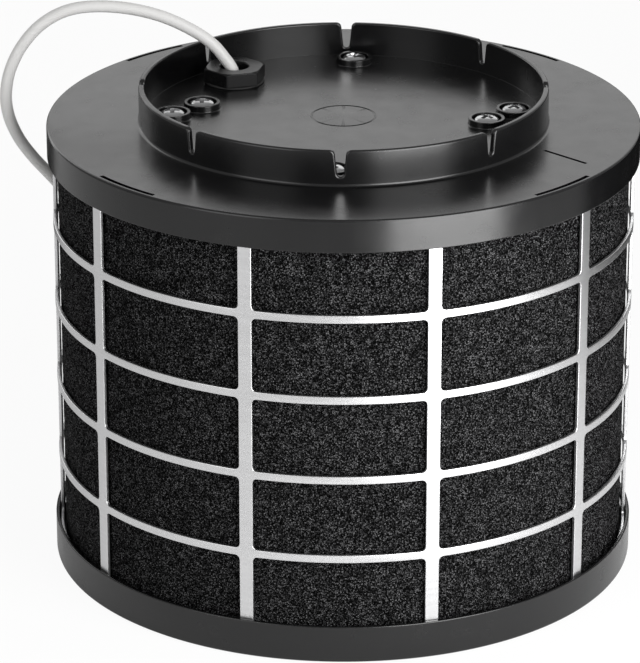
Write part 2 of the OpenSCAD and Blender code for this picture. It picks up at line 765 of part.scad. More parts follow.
module flow_vane() {
    color("#e0ded6") difference() {
        union() {
            translate([pin_x, 0, pin_z]) rotate([90, 0, 0])
                cylinder(r = hub_r, h = 2 * ear_y - 0.6, center = true);
            translate([pin_x, -ear_y + 0.6, pin_z - vane_t / 2]) cube([10, 2 * ear_y - 1.2, vane_t]);
            translate([pin_x + 8, -vane_w / 2, pin_z - vane_t / 2]) cube([vane_l - 8, vane_w, vane_t]);
            translate([pin_x - heel_l, -3, pin_z + 0.8]) cube([heel_l, 6, 2]);
        }
        translate([pin_x, 0, pin_z]) rotate([90, 0, 0])
            cylinder(r = pin_d / 2 + pin_gap, h = 60, center = true);
    }
}

module micro_switch() {
    color("#26262a") difference() {
        translate([-socket_r + 2, -switch_w / 2, switch_z]) cube([switch_l, switch_w, switch_h]);
        translate([plunger_x, 0, switch_z - 1]) cylinder(r = plunger_r + 0.1, h = 5);
        for (x = [5, 15]) translate([-socket_r + 2 + x, 0, switch_z + 6]) rotate([90, 0, 0])
            cylinder(r = 1.2, h = switch_w + 2, center = true);
    }
}

module switch_plunger() {
    tip = pin_z + 2.8 + 0.3;
    color("#c33a2e") translate([plunger_x, 0, tip]) cylinder(r = plunger_r, h = switch_z + 2.6 - tip);
}

// ---------- mains lead ----------

module power_cable() {
    color("#e9e9e7") sweep(smooth(lead_route, 2), lead_r, lead_sides);
}

// A point of the coil after t loops: spirals in on the floor, climbs, and spirals out on top
function coil_rise(t) = let (s = min(max((t - coil_turns / 2) * 2 + 0.5, 0), 1))
    turn_pitch * s * s * (3 - 2 * s);
function coil_point(t) = let (r = coil_min_r + turn_pitch * abs(t - coil_turns / 2), a = 360 * t - 90)
    [coil_c[0] + r * cos(a), coil_c[1] + r * sin(a), lead_r + coil_rise(t)];
coil_steps = coil_turns * rings_per_loop;
coil_path = concat([lead_end], [for (i = [0:coil_steps]) coil_point(coil_turns * i / coil_steps)],
    [[coil_c[0] + 8, lead_end[1], lead_r + turn_pitch],
     [coil_c[0] + 16, lead_end[1], lead_r + turn_pitch - 0.5],
     [plug_x - 1.5 * cable_d, lead_end[1], plug_z], [plug_x, lead_end[1], plug_z]]);

// Least gap of the coil to itself, between rings at least half a loop apart
coil_gap = min([for (i = [0:coil_steps], j = [i + rings_per_loop / 2:1:len(coil_path) - 1])
    norm(coil_path[i] - coil_path[j])]) - cable_d;
echo(least_coil_gap = coil_gap);

module cable_coil() {
    color("#e9e9e7") sweep(coil_path, lead_r, coil_sides, [0, 0, 1]);
}

// Tie around all the turns, on the side away from the canister
module coil_tie() {
    mid_r = (coil_min_r + coil_out_r) / 2;
    half = (coil_out_r - coil_min_r) / 2 + lead_r + 0.5;
    height = cable_d + turn_pitch + 1;
    color("#2b2b2b") translate([coil_c[0] - 4, coil_c[1] + mid_r, 0]) difference() {
        translate([0, -half - 1, 0]) cube([8, 2 * half + 2, height]);
        translate([-1, -half, 0.4]) cube([10, 2 * half, height - 0.9]);
    }
}

// Flat two-pin plug with its tapered strain relief, cable entry at plug_x
module plug_body() {
    color("#efefed") translate([plug_x, lead_end[1], plug_z]) {
        rotate([0, 90, 0]) cylinder(r1 = lead_r + 1, r2 = 5, h = relief_l + eps);
        hull() {
            translate([relief_l, 0, 0]) rotate([0, 90, 0]) cylinder(r = 6, h = 1, $fn = 32);
            for (y = [-1, 1]) translate([relief_l + 14, y * (plug_w / 2 - 6.8), 0]) sphere(r = 6.8, $fn = 24);
            for (y = [-1, 1]) translate([relief_l + plug_l - 1, y * (plug_w / 2 - 6.8), 0])
                rotate([0, 90, 0]) cylinder(r = 6.8, h = 1, $fn = 32);
        }
    }
}

module plug_pins() {
    color(steel) for (y = [-1, 1])
        translate([plug_x + relief_l + plug_l, lead_end[1] + y * pin_pitch / 2, plug_z]) rotate([0, 90, 0]) {
            cylinder(r = 2, h = pin_l - 2);
            translate([0, 0, pin_l - 2 - eps]) cylinder(r1 = 2, r2 = 1.2, h = 2);
        }
}

top_cap();
bottom_cap();
grid_cage();
carbon_foam_sleeve();
inner_core();
top_gasket();
bottom_gasket();
inlet_guard();
frame_screws();
supply_screws();
gland_body();
gland_washer();
gland_seal();
gland_locknut();
module_frame();
supply_box();
supply_lid();
circuit_board();
transformer();
capacitors();
terminal_block();
cable_tail();
for (k = [1:tube_count]) {
    tube_base(k);
    glass_tube(k);
    inner_electrode(k);
    outer_electrode(k);
    tube_lead(k);
}
earth_plate();
vane_bracket();
vane_pin();
pin_clips();
flow_vane();
micro_switch();
switch_plunger();
power_cable();
cable_coil();
coil_tie();
plug_body();
plug_pins();
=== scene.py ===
"""Looks, camera and light of the recirculating-air filter canister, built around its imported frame.

Sizes of the part are millimetres in the frame of the CAD model; MM turns them into metres. The
stage, the lights and the camera are in metres.
Azimuths are measured from the front (-Y) towards +X, in degrees.
"""
import json
import math

import bmesh
import bpy
from mathutils import Matrix, Vector, noise

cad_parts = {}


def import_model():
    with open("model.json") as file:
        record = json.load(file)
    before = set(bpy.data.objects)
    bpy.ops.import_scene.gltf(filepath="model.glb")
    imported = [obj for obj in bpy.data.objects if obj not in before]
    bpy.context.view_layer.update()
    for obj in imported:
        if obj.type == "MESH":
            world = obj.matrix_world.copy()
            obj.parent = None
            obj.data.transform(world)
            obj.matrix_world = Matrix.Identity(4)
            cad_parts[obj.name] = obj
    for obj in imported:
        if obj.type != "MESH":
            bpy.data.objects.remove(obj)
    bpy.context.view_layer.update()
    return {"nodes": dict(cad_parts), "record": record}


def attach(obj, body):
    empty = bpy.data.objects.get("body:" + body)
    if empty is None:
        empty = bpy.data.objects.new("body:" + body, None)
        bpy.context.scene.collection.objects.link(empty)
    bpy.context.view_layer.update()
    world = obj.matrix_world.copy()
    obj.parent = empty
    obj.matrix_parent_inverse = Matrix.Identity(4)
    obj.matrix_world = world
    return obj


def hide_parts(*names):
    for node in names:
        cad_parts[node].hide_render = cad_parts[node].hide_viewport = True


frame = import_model()

MM = 0.001
TAU = 2 * math.pi

# ---------------------------------------------------------------- sizes shared with the CAD model
CAP_R = 130.0
SKIRT_R = 128.4
TOP_Z = 201.0
PLATE_Z = 198.0
SKIRT_LOW = 186.5
FLOOR_Z = 202.0
UNDER_Z = 199.0
RIM_H = 16.7
UNDER_R = 83.6           # edge of the step under the dish
SEAT_R = (99.9, 101.9)   # walls of the ring inside both caps
WALL_Z = 204.4           # just under the notch floors, where the collar is whole
COLLAR_R = 89.6
DISH_R = 87.0
COLLAR_Z = 217.0
NOTCHES = 8
NOTCH_TURN = -1.15       # only here: the notches of the CAD model are not turned
NOTCH_ROUND = 2.4
NOTCH_DRAW = 0.64
MAIN_NOTCH = (4.6, 11.7)
SIDE_NOTCH = (4.0, 10.6)
RIM_OUT_R = 1.0
RIM_IN_R = 0.8
GROOVE_R = 14.0          # middle of the shallow ring groove in the dish
STRAIGHT_SLOT = (94.2, -51.6)
SLOT_HALF = (12, 0.8)    # half its length and half its width
CAGE_R = 128.0
CAGE_IN_R = 126.5
CAGE_TURN = 1.0
BARS = 10
ROWS = 5
BAR_W = 6.0
RING_W = 3.5
LOW_BAND = 13.0
HIGH_BAND = 191.0
WINDOW_H = (HIGH_BAND - LOW_BAND - (ROWS - 1) * RING_W) / ROWS
FOAM_R = 125.7
FOAM_IN_R = 105.7
FOAM_LOW = 5.0
FOAM_HIGH = 196.0
HOOK_AZ = (-137, -46, 46, 137)
SLOT_R = (126.3, 128.3)  # walls of the arc slots over the hooks
WELL_RING_R = 75.9
FRAME_WELLS = ((WELL_RING_R, 176), (WELL_RING_R, -4), (WELL_RING_R - 1, -88), (WELL_RING_R - 1, 92))
SUPPLY_WELLS = ((WELL_RING_R - 12.7, -100), (WELL_RING_R - 12.7, 80))
GLAND = (-48.72, 48.72)
HEX_Z = 202.8
HEX_TOP = 209.2
HEX_FLATS = 24.7
HEX_CORNER = 0.7
CORD_D = 5.4
CORD_R = CORD_D / 2

# Centreline of the mains lead, from the gland over the rim and down behind the canister
LEAD_ROUTE = (
    (-48.7, 48.7, 202.2), (-48.8, 48.7, 204.2), (-50, 48.7, 208.2), (-52.8, 48.9, 212.4),
    (-58.3, 49, 219.1), (-66.8, 49.2, 225.3), (-80, 49.6, 231.6), (-95, 50, 235.4), (-111, 50, 236.5),
    (-124, 50, 234.3), (-135, 50, 228), (-143.5, 50, 218.5), (-149.3, 50, 207), (-151.6, 50, 195.4),
    (-150.6, 50.4, 184.8), (-146.6, 52, 174), (-140.6, 54.6, 164), (-133.6, 59, 154), (-126.6, 65, 143),
    (-120, 72, 130), (-114, 79, 115), (-108.4, 86, 98), (-103, 93, 80), (-97, 100.6, 62),
    (-89.4, 108.8, 45), (-79.6, 117.6, 29.5), (-67, 126, 16.4), (-52, 132.6, 7.4), (-36, 136.6, 3.4),
    (-20, 137.6, 2.7), (-5, 137.7, 2.7), (5, 137.7, 2.7))
COIL_TURNS = 7
TURN_PITCH = 5.85
COIL_MIN_R = 21.8
COIL_C = (10.4, 179.975)
PLUG_X = 39.0
PLUG_Y = 137.7
PLUG_Z = 6.85


def turned(az, r):
    """Point in the plan at an azimuth and radius."""
    a = math.radians(az)
    return r * math.sin(a), -r * math.cos(a)


def polar_point(a, r, z, centre=(0, 0)):
    """Point at an angle from the front in radians, a radius and a height."""
    return centre[0] + r * math.sin(a), centre[1] - r * math.cos(a), z


# ---------------------------------------------------------------- materials
def shader(name, color, roughness, metallic=0.0):
    """New material with one Principled shader. Returns the material, its tree and the shader."""
    material = bpy.data.materials.new(name)
    material.use_nodes = True
    tree = material.node_tree
    principled = tree.nodes["Principled BSDF"]
    principled.inputs["Base Color"].default_value = (*color, 1)
    principled.inputs["Roughness"].default_value = roughness
    principled.inputs["Metallic"].default_value = metallic
    return material, tree, principled


def coordinates(tree, stretch=(1, 1, 1)):
    """Object coordinates, which are the model's own metres, scaled along each axis."""
    source = tree.nodes.new("ShaderNodeTexCoord")
    mapping = tree.nodes.new("ShaderNodeMapping")
    mapping.inputs["Scale"].default_value = stretch
    tree.links.new(source.outputs["Object"], mapping.inputs["Vector"])
    return mapping.outputs["Vector"]


def noise_of(tree, vector, scale, detail):
    """Value of a noise texture."""
    node = tree.nodes.new("ShaderNodeTexNoise")
    node.inputs["Scale"].default_value = scale
    node.inputs["Detail"].default_value = detail
    node.inputs["Roughness"].default_value = 0.5
    tree.links.new(vector, node.inputs["Vector"])
    return node.outputs["Fac"]


def cells_of(tree, vector, scale):
    """Distance to the middle of the nearest cell, and a value of its own for each cell."""
    node = tree.nodes.new("ShaderNodeTexVoronoi")
    node.inputs["Scale"].default_value = scale
    tree.links.new(vector, node.inputs["Vector"])
    split = tree.nodes.new("ShaderNodeSeparateColor")
    tree.links.new(node.outputs["Color"], split.inputs["Color"])
    return node.outputs["Distance"], split.outputs["Red"]


def ranged(tree, value, low, high, to_low, to_high, smooth=False):
    """Value mapped from one range to another, straight or along an S-curve."""
    node = tree.nodes.new("ShaderNodeMapRange")
    if smooth:
        node.interpolation_type = "SMOOTHSTEP"
    for socket, number in (("From Min", low), ("From Max", high), ("To Min", to_low), ("To Max", to_high)):
        node.inputs[socket].default_value = number
    tree.links.new(value, node.inputs["Value"])
    return node.outputs["Result"]


def maths(tree, operation, first, second):
    """Result of an operation on two values, each a number or a socket."""
    node = tree.nodes.new("ShaderNodeMath")
    node.operation = operation
    for socket, value in zip(node.inputs, (first, second)):
        if isinstance(value, (int, float)):
            socket.default_value = value
        else:
            tree.links.new(value, socket)
    return node.outputs["Value"]


def ramp(tree, value, stops):
    """Colour ramp with (position, colour) stops."""
    node = tree.nodes.new("ShaderNodeValToRGB")
    elements = node.color_ramp.elements
    while len(elements) < len(stops):
        elements.new(0.5)
    for element, (position, color) in zip(elements, stops):
        element.position = position
        element.color = (*color, 1)
    tree.links.new(value, node.inputs["Fac"])
    return node.outputs["Color"]


def bumped(tree, principled, height, distance, onto=None):
    """Bump from a height, in millimetres of relief, on top of an earlier bump."""
    node = tree.nodes.new("ShaderNodeBump")
    node.inputs["Strength"].default_value = 1.0
    node.inputs["Distance"].default_value = distance * MM
    tree.links.new(height, node.inputs["Height"])
    if onto:
        tree.links.new(onto, node.inputs["Normal"])
    tree.links.new(node.outputs["Normal"], principled.inputs["Normal"])
    return node.outputs["Normal"]


def plastic(name, color, roughness, spread=0.04, grain=0.004, wave=0.0, tint=0.12, shine=0.5):
    """Moulded plastic: fine grain, faint waviness, and gloss and colour that drift over the surface."""
    material, tree, principled = shader(name, color, roughness)
    principled.inputs["Specular IOR Level"].default_value = shine
    vector = coordinates(tree)
    drift = noise_of(tree, vector, 22, 2)
    fine = noise_of(tree, vector, 2400, 2)
    gloss = ranged(tree, noise_of(tree, vector, 90, 4), 0.3, 0.7, roughness - spread, roughness + spread)
    tree.links.new(gloss, principled.inputs["Roughness"])
    low = [c * (1 - tint) for c in color]
    high = [min(1.0, c * (1 + tint)) for c in color]
    tree.links.new(ramp(tree, drift, ((0.35, low), (0.65, high))), principled.inputs["Base Color"])
    normal = bumped(tree, principled, fine, grain)
    if wave:
        bumped(tree, principled, noise_of(tree, vector, 16, 1), wave, onto=normal)
    return material


def metal(name, color, roughness, stretch=(30, 30, 2600), relief=0.004, spread=0.07, contrast=0.1):
    """Metal sheet with brush lines along the axes that are scaled least."""
    material, tree, principled = shader(name, color, roughness, 1.0)
    lines = noise_of(tree, coordinates(tree, stretch), 1.0, 3)
    smear = noise_of(tree, coordinates(tree), 35, 3)
    gloss = maths(tree, "ADD", ranged(tree, lines, 0.3, 0.7, -spread / 2, spread / 2),
                  ranged(tree, smear, 0.3, 0.7, roughness - spread / 2, roughness + spread / 2))
    tree.links.new(gloss, principled.inputs["Roughness"])
    low = [c * (1 - contrast) for c in color]
    high = [min(1.0, c * (1 + contrast)) for c in color]
    tree.links.new(ramp(tree, lines, ((0.3, low), (0.7, high))), principled.inputs["Base Color"])
    bumped(tree, principled, lines, relief)
    return material


def foam_material():
    """Open-cell foam loaded with carbon: painted shade that blacks out the pores, a dark web, and grey grains
    with painted shading, lighter in each grain's middle, and of uneven tone.
    """
    material, tree, principled = shader("carbon_foam", (0.02, 0.02, 0.021), 0.88)
    vector = coordinates(tree)
    distance, own = cells_of(tree, vector, 1450)
    pore_distance, _ = cells_of(tree, vector, 640)
    patch = noise_of(tree, vector, 240, 3)
    # painted shading: each grain is lighter in its middle and darker towards its edge; painted shade: the
    # colour goes black in the pores; both masks also drive the bump
    bead = ranged(tree, distance, 0.3, 0.72, 1.0, 0.0, smooth=True)
    open_web = ranged(tree, pore_distance, 0.12, 0.36, 0.0, 1.0, smooth=True)
    grain_light_and_tone = maths(tree, "MULTIPLY", bead, open_web)
    grain_light_and_tone = maths(tree, "MULTIPLY", grain_light_and_tone, ranged(tree, patch, 0.34, 0.6, 0.5, 1.0))
    grain_light_and_tone = maths(tree, "MULTIPLY", grain_light_and_tone, ranged(tree, own, 0.05, 0.95, 0.1, 1.0))
    color = ramp(tree, grain_light_and_tone, ((0.0, (0.0005, 0.0005, 0.0005)), (0.3, (0.02, 0.02, 0.0206)),
                             (1.0, (0.098, 0.098, 0.1))))
    tree.links.new(color, principled.inputs["Base Color"])
    height = maths(tree, "ADD", bead, maths(tree, "MULTIPLY", open_web, 2.0))
    bumped(tree, principled, height, 0.3)
    principled.inputs["Specular IOR Level"].default_value = 0.03
    return material


def screw_material():
    """Bright plating, with painted shade: darker down in the cross recess and at the foot of the head."""
    material = metal("screw_chrome", (0.5, 0.5, 0.505), 0.2, (200, 200, 200), 0.002, 0.06)
    tree = material.node_tree
    principled = tree.nodes["Principled BSDF"]
    plating = principled.inputs["Base Color"].links[0].from_socket
    split = tree.nodes.new("ShaderNodeSeparateXYZ")
    tree.links.new(coordinates(tree), split.inputs["Vector"])
    # painted shade: the plating colour is darkened below the upper part of the head, down in the cross recess
    # and at the foot of the head
    recess_shade = tree.nodes.new("ShaderNodeVectorMath")
    recess_shade.operation = "SCALE"
    tree.links.new(plating, recess_shade.inputs[0])
    tree.links.new(ranged(tree, split.outputs["Z"], (FLOOR_Z + 1.2) * MM, (FLOOR_Z + 3.1) * MM, 0.1, 1.0),
                   recess_shade.inputs["Scale"])
    tree.links.new(recess_shade.outputs["Vector"], principled.inputs["Base Color"])
    return material


def glass_material():
    """Clear, smooth tube glass."""
    material, _, principled = shader("tube_glass", (0.86, 0.93, 0.94), 0.04)
    principled.inputs["Transmission Weight"].default_value = 1.0
    principled.inputs["IOR"].default_value = 1.47
    return material


MATERIALS = {
    "cap_black": plastic("cap_black", (0.0025, 0.0025, 0.0027), 0.25, 0.03, 0.0006, 0.01),
    "cage_steel": metal("cage_steel", (0.66, 0.66, 0.665), 0.34, (30, 30, 900), 0.0008, 0.03, 0.03),
    "carbon_foam": foam_material(),
    "core_steel": metal("core_steel", (0.5, 0.51, 0.53), 0.42, (40, 40, 300)),
    "gasket": plastic("gasket", (0.03, 0.03, 0.031), 0.85, 0.05, 0.05),
    "guard_black": plastic("guard_black", (0.022, 0.022, 0.023), 0.45, 0.05, 0.01),
    "screw_chrome": screw_material(),
    "gland_black": plastic("gland_black", (0.004, 0.004, 0.0043), 0.3, 0.05, 0.004, shine=0.22),
    "seal_rubber": plastic("seal_rubber", (0.01, 0.01, 0.01), 0.7, 0.06, 0.012),
    "frame_grey": plastic("frame_grey", (0.58, 0.56, 0.51), 0.45, 0.05, 0.01),
    "box_white": plastic("box_white", (0.76, 0.76, 0.74), 0.42, 0.05, 0.01, tint=0.04),
    "board_green": plastic("board_green", (0.04, 0.2, 0.08), 0.35, 0.05, 0.01),
    "transformer_dark": plastic("transformer_dark", (0.08, 0.08, 0.09), 0.5, 0.08, 0.03),
    "capacitor_blue": plastic("capacitor_blue", (0.05, 0.18, 0.42), 0.35, 0.04, 0.005),
    "terminal_green": plastic("terminal_green", (0.1, 0.34, 0.13), 0.4, 0.04, 0.005),
    "base_dark": plastic("base_dark", (0.06, 0.06, 0.07), 0.5, 0.06, 0.015),
    "tube_glass": glass_material(),
    "electrode_steel": metal("electrode_steel", (0.62, 0.63, 0.65), 0.3, (400, 400, 400), 0.003),
    "lead_red": plastic("lead_red", (0.42, 0.025, 0.025), 0.5, 0.05, 0.01),
    "bracket_cream": plastic("bracket_cream", (0.56, 0.53, 0.45), 0.45, 0.05, 0.01),
    "vane_white": plastic("vane_white", (0.72, 0.71, 0.67), 0.42, 0.05, 0.01, tint=0.04),
    "switch_black": plastic("switch_black", (0.03, 0.03, 0.034), 0.5, 0.05, 0.01),
    "plunger_red": plastic("plunger_red", (0.5, 0.04, 0.03), 0.4, 0.05, 0.006),
    "lead_white": plastic("lead_white", (0.64, 0.636, 0.626), 0.5, 0.05, 0.006, tint=0.02),
    "tie_black": plastic("tie_black", (0.02, 0.02, 0.022), 0.9, 0.04, 0.25),
    "pin_nickel": metal("pin_nickel", (0.74, 0.72, 0.67), 0.2, (300, 300, 300), 0.002, 0.05),
}


# ---------------------------------------------------------------- mesh helpers
def piece(name, mesh, material, *nodes, body="root", sharp=32):
    """Shows a mesh as a piece on a body, in place of CAD nodes, with smooth faces and even normals."""
    mesh.materials.append(MATERIALS[material])
    mesh.shade_smooth()
    mesh.set_sharp_from_angle(angle=math.radians(sharp))
    obj = bpy.data.objects.new(name, mesh)
    bpy.context.collection.objects.link(obj)
    even = obj.modifiers.new("even_normals", "WEIGHTED_NORMAL")
    even.keep_sharp = True
    even.weight = 90
    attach(obj, body)
    if nodes:
        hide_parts(*nodes)
    return obj


def build(name, points, faces, weld=1e-4):
    """Mesh from points in millimetres, with doubled points welded and normals facing out."""
    bm = bmesh.new()
    verts = [bm.verts.new(Vector(p) * MM) for p in points]
    for face in faces:
        corners = [verts[i] for i in face]
        if len(set(corners)) == len(corners) and not bm.faces.get(corners):
            bm.faces.new(corners)
    bmesh.ops.remove_doubles(bm, verts=bm.verts, dist=weld * MM)
    bmesh.ops.dissolve_degenerate(bm, edges=bm.edges, dist=weld * MM)
    bmesh.ops.recalc_face_normals(bm, faces=bm.faces)
    mesh = bpy.data.meshes.new(name)
    bm.to_mesh(mesh)
    bm.free()
    return mesh


def grid_faces(columns, rows, around=True, closed=True):
    """Quads over a grid of columns by rows: around joins the last column to the first, closed the rows."""
    faces = []
    for j in range(columns if around else columns - 1):
        a, b = j * rows, (j + 1) % columns * rows
        for i in range(rows if closed else rows - 1):
            k = (i + 1) % rows
            faces.append((a + i, b + i, b + k, a + k))
    return faces


def rounded(corners, steps):
    """Closed profile through (x, y, radius) corners, each rounded by an arc of its radius."""
    points = []
    for i, (x, y, radius) in enumerate(corners):
        here = Vector((x, y))
        if not radius:
            points.append((x, y))
            continue
        before = Vector(corners[i - 1][:2]) - here
        after = Vector(corners[(i + 1) % len(corners)][:2]) - here
        u, v = before.normalized(), after.normalized()
        half = u.angle(v) / 2
        reach = min(radius / math.tan(half), 0.49 * min(before.length, after.length))
        centre = here + (u + v).normalized() * (reach / math.cos(half))
        start, end = here + u * reach - centre, here + v * reach - centre
        a0 = math.atan2(start.y, start.x)
        turn = (math.atan2(end.y, end.x) - a0 + math.pi) % TAU - math.pi
        for k in range(steps + 1):
            a = a0 + turn * k / steps
            points.append((centre.x + start.length * math.cos(a), centre.y + start.length * math.sin(a)))
    return points


def spun(profile, segments, centre=(0, 0)):
    """Points and faces of a closed (radius, height) profile turned about a vertical axis."""
    points = [polar_point(TAU * j / segments, r, z, centre) for j in range(segments) for r, z in profile]
    return points, grid_faces(segments, len(profile))


def lathe(name, profile, segments, centre=(0, 0)):
    """Mesh of a closed profile turned about a vertical axis."""
    return build(name, *spun(profile, segments, centre))


def arc_solid(profile, az, arc, steps):
    """Points and faces of a closed profile swept over part of a turn, with flat ends."""
    points = []
    for j in range(steps + 1):
        x, y = turned(az - arc / 2 + arc * j / steps, 1)
        points += [(r * x, r * y, z) for r, z in profile]
    n = len(profile)
    faces = grid_faces(steps + 1, n, around=False)
    faces += [tuple(range(n)), tuple(steps * n + i for i in reversed(range(n)))]
    return points, faces


def together(parts):
    """One list of points and faces from several."""
    points, faces = [], []
    for more_points, more_faces in parts:
        start = len(points)
        points += more_points
        faces += [tuple(start + i for i in face) for face in more_faces]
    return points, faces


def cut_mesh(name, mesh, points, faces):
    """New mesh without materials: the given one with solids cut out of it."""
    holder = bpy.data.objects.new(name, mesh)
    tool = bpy.data.objects.new(name + "_tool", build(name + "_tool", points, faces))
    for obj in (holder, tool):
        bpy.context.collection.objects.link(obj)
    modifier = holder.modifiers.new("cut", "BOOLEAN")
    modifier.operation = "DIFFERENCE"
    modifier.solver = "EXACT"
    modifier.object = tool
    result = bpy.data.meshes.new_from_object(holder.evaluated_get(bpy.context.evaluated_depsgraph_get()))
    for obj in (tool, holder):
        bpy.data.objects.remove(obj)
    result.name = name
    result.materials.clear()
    return result


# ---------------------------------------------------------------- end caps
def slot_cutters(z0, z1):
    """The four moulding slots over the snap hooks."""
    section = ((SLOT_R[0], z0), (SLOT_R[1], z0), (SLOT_R[1], z1), (SLOT_R[0], z1))
    return [arc_solid(section, az, 15, 20) for az in HOOK_AZ]


def notch_edge(w, h):
    """Edge of one notch from its left shoulder to its right, as (across, height) from the rim."""
    r = NOTCH_DRAW * w / 2
    far = w / 2 + NOTCH_ROUND
    side = [(-far + NOTCH_ROUND * math.sin(a), -NOTCH_ROUND + NOTCH_ROUND * math.cos(a))
            for a in (math.radians(90 * k / 7) for k in range(8))]
    start = side[-1]
    side += [(start[0] + (-r - start[0]) * k / 4, start[1] + (r - h - start[1]) * k / 4) for k in (1, 2, 3)]
    floor = [(-r * math.cos(a), r - h - r * math.sin(a)) for a in (math.pi * k / 10 for k in range(11))]
    return side + floor + [(-x, z) for x, z in reversed(side)]


def rim_columns():
    """Columns around the collar as (azimuth, across, height, normal into the wall)."""
    columns = []
    step = 360 / NOTCHES
    for k in range(NOTCHES):
        main = k % (NOTCHES // 2) == 0
        edge = notch_edge(*(MAIN_NOTCH if main else SIDE_NOTCH))
        az = step * k + NOTCH_TURN
        for i, (x, z) in enumerate(edge):
            if i in (0, len(edge) - 1):
                normal = (0.0, -1.0)
            else:
                dx, dz = edge[i + 1][0] - edge[i - 1][0], edge[i + 1][1] - edge[i - 1][1]
                length = math.hypot(dx, dz)
                normal = (dz / length, -dx / length)
            columns.append((az, x, z, *normal))
        reach = math.degrees(edge[-1][0] / COLLAR_R) + 0.9
        count = 26
        for i in range(count):
            columns.append((az + reach + (step - 2 * reach) * i / (count - 1), 0.0, 0.0, 0.0, -1.0))
    return columns


def top_cap():
    """Cap with its skirt, dish and notched collar as one skin, each column from underside to dish."""
    seat_in, seat_out = SEAT_R
    under = [(0, UNDER_Z), (UNDER_R, UNDER_Z), (UNDER_R, PLATE_Z), (seat_in, PLATE_Z), (seat_in, 190),
             (seat_out, 190), (seat_out, PLATE_Z)]
    skirt = rounded([(SKIRT_R, PLATE_Z, 0.6), (SKIRT_R, SKIRT_LOW, 0.3), (CAP_R, SKIRT_LOW, 0.45),
                     (CAP_R, TOP_Z, 1.1), (COLLAR_R, TOP_Z, 1.3), (COLLAR_R, WALL_Z, 0),
                     (SKIRT_R - 8, WALL_Z, 0)], 5)[:-2]
    outer_edge = [(COLLAR_R - RIM_OUT_R * (1 - math.cos(a)), RIM_OUT_R * (1 - math.sin(a)))
                  for a in (math.radians(15 * k) for k in range(7))]
    inner_edge = [(DISH_R + RIM_IN_R * (1 - math.cos(a)), RIM_IN_R * (1 - math.sin(a)))
                  for a in (math.radians(90 - 15 * k) for k in range(7))]
    dish = rounded([(DISH_R, WALL_Z, 0), (DISH_R, FLOOR_Z, 0.12), (0, FLOOR_Z, 0)], 5)[:-1]
    dish += [(60, FLOOR_Z), (40, FLOOR_Z)]
    dish += [(GROOVE_R + out, FLOOR_Z - deep) for out, deep in ((0.7, 0), (0.35, 0.12), (0.15, 0.3),
                                                                (-0.15, 0.3), (-0.35, 0.12), (-0.7, 0))]
    dish.append((0, FLOOR_Z))
    points = []
    for az, x, z, nx, nz in rim_columns():
        base = math.radians(az)
        out_a = base + math.asin((x + RIM_OUT_R * nx) / COLLAR_R)
        in_a = base + math.asin((x + RIM_IN_R * nx) / DISH_R)
        column = [polar_point(out_a, r, height) for r, height in under + skirt + [(COLLAR_R, WALL_Z)]]
        column += [polar_point(base + math.asin((x + d * nx) / r), r, COLLAR_Z + z + d * nz)
                   for r, d in outer_edge + inner_edge]
        column += [polar_point(in_a, r, height) for r, height in dish]
        points.append(column)
    rows = len(points[0])
    mesh = build("top_cap", [p for column in points for p in column],
                 grid_faces(len(points), rows, closed=False), 1e-3)
    cuts = slot_cutters(PLATE_Z - 1, TOP_Z + 1)
    half = math.sqrt(0.5)
    along, across = Vector((half, -half)) * SLOT_HALF[0], Vector((half, half)) * SLOT_HALF[1]
    corners = [Vector(STRAIGHT_SLOT) + along * sx + across * sy
               for sx, sy in ((-1, -1), (1, -1), (1, 1), (-1, 1))]
    cuts.append(([(c.x, c.y, z) for z in (TOP_Z - 2, TOP_Z + 1) for c in corners],
                 [(0, 1, 2, 3), (7, 6, 5, 4), (0, 4, 5, 1), (1, 5, 6, 2), (2, 6, 7, 3), (3, 7, 4, 0)]))
    piece("top_cap_shell", cut_mesh("top_cap_shell", mesh, *together(cuts)), "cap_black", "top_cap")


def well_rings():
    """Raised rings around the screw heads."""
    profile = rounded([(6.4, 201.9, 0), (6.4, 205, 0.35), (8, 205, 0.35), (8.05, FLOOR_Z, 0.5),
                       (9.2, FLOOR_Z, 0), (9.2, 201.9, 0)], 4)[:-2]
    rings = together([spun(profile, 64, turned(az, r)) for r, az in FRAME_WELLS + SUPPLY_WELLS])
    piece("screw_well_rings", build("screw_well_rings", *rings), "cap_black", "top_cap")


def hook_solids(z, up):
    """The four snap hooks of a cap, with their slope upwards (up 1) or downwards (up -1)."""
    section = ((128.8, z), (SLOT_R[0], z), (SLOT_R[0], z + up * 0.7), (128.4, z + up * 2.8),
               (128.8, z + up * 2.8))
    return together([arc_solid(section, az, 9, 10) for az in HOOK_AZ])


def bottom_cap():
    """Lower cap with its rim, inner ring and duct socket, and the snap hooks of both caps."""
    seat_in, seat_out = SEAT_R
    profile = rounded([(75, 0, 0.8), (CAP_R, 0, 1.2), (CAP_R, RIM_H, 0.5), (SKIRT_R, RIM_H, 0.35),
                       (SKIRT_R, 3, 0.8), (seat_out, 3, 0.5), (seat_out, 11, 0.4), (seat_in, 11, 0.4),
                       (seat_in, 3, 0.5), (77.4, 3, 0.8), (77.4, 38, 0.3), (73.4, 38, 0.3), (73.4, 34, 0.3),
                       (75, 34, 0.3)], 4)
    mesh = cut_mesh("bottom_cap_shell", lathe("bottom_cap", profile, 256), *together(slot_cutters(-1, 4)))
    piece("bottom_cap_shell", mesh, "cap_black", "bottom_cap")
    piece("bottom_hooks", build("bottom_hooks", *hook_solids(13.3, 1)), "cap_black", "bottom_cap")
    piece("top_hooks", build("top_hooks", *hook_solids(190.7, -1)), "cap_black", "top_cap")


